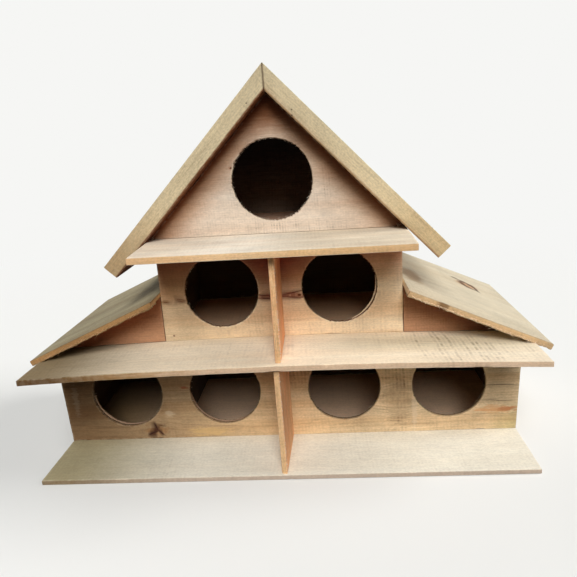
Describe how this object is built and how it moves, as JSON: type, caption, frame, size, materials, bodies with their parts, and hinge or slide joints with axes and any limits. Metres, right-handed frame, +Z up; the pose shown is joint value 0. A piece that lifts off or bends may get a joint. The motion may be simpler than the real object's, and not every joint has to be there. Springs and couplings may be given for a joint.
{
  "type": "wooden dovecote nest box",
  "caption": "Free-standing tiered wooden dovecote with round nest holes, a landing board in front of each tier, lean-to wing roofs and a steep plank roof.",
  "frame": {"origin": "on the ground below the middle of the middle tier, on the front walls' outer face", "axes": "+Z up, +X to the right along the front, -Y out of the front with the nest holes"},
  "size_m": [0.9833, 0.52, 0.7302],
  "materials": {
    "wall_wood": "sawn, unpainted",
    "inner_wood": "sawn, unpainted",
    "floor_wood": "sawn, unpainted",
    "divider_wood": "sawn, unpainted",
    "wing_roof_wood": "sawn, unpainted",
    "roof_plank_wood": "sawn, unpainted"
  },
  "bodies": {
    "root": {"bottom_front_wall": "wall_wood", "bottom_back_wall": "wall_wood", "bottom_left_side": "wall_wood", "bottom_right_side": "wall_wood", "middle_front_wall": "wall_wood", "middle_back_wall": "wall_wood", "middle_left_side": "wall_wood", "middle_right_side": "wall_wood", "left_wing_front_panel": "wall_wood", "right_wing_front_panel": "wall_wood", "left_wing_back_panel": "wall_wood", "right_wing_back_panel": "wall_wood", "attic_front_panel": "wall_wood", "attic_back_panel": "wall_wood", "bottom_left_partition": "inner_wood", "bottom_centre_partition": "inner_wood", "bottom_right_partition": "inner_wood", "middle_partition": "inner_wood", "bottom_floor": "floor_wood", "middle_deck": "floor_wood", "attic_floor": "floor_wood", "bottom_landing_divider": "divider_wood", "middle_landing_divider": "divider_wood", "left_wing_roof": "wing_roof_wood", "right_wing_roof": "wing_roof_wood", "left_roof_plank": "roof_plank_wood", "right_roof_plank": "roof_plank_wood"}
  },
  "joints": []
}
